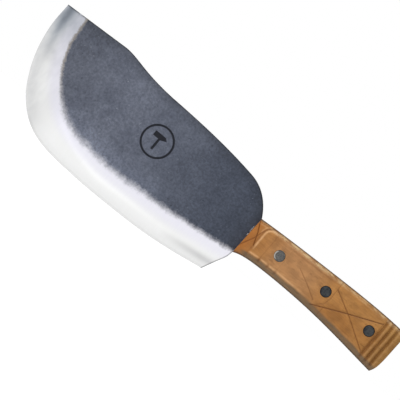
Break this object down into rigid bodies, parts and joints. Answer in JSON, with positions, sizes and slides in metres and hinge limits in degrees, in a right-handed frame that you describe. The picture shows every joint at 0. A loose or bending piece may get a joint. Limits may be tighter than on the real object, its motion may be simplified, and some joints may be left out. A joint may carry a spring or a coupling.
{
  "type": "meat cleaver",
  "caption": "Forged meat cleaver with a broad curved blade, ground edge, full tang, and riveted wooden grip scales carved with grooves.",
  "frame": {"origin": "on the middle rivet's axis, halfway through the tang: the middle of the grip", "axes": "+X along the grip towards the butt, +Y through the blade from its stamped face to its back face, +Z from the cutting edge up to the spine"},
  "size_m": [0.3159, 0.023, 0.089],
  "materials": {
    "forged_steel": "blue-grey forge scale above a bright ground edge",
    "wood": "oiled, hand-carved, light orange-brown",
    "glue": "cured bedding adhesive",
    "rivet_steel": "dark blued, ground flush"
  },
  "bodies": {
    "root": {"blade_and_tang": "forged_steel", "front_scale": "wood", "back_scale": "wood", "front_glue_layer": "glue", "back_glue_layer": "glue", "front_rivet_barrel": "rivet_steel", "front_rivet_shank": "rivet_steel", "middle_rivet_barrel": "rivet_steel", "middle_rivet_shank": "rivet_steel", "rear_rivet_barrel": "rivet_steel", "rear_rivet_shank": "rivet_steel"}
  },
  "joints": []
}
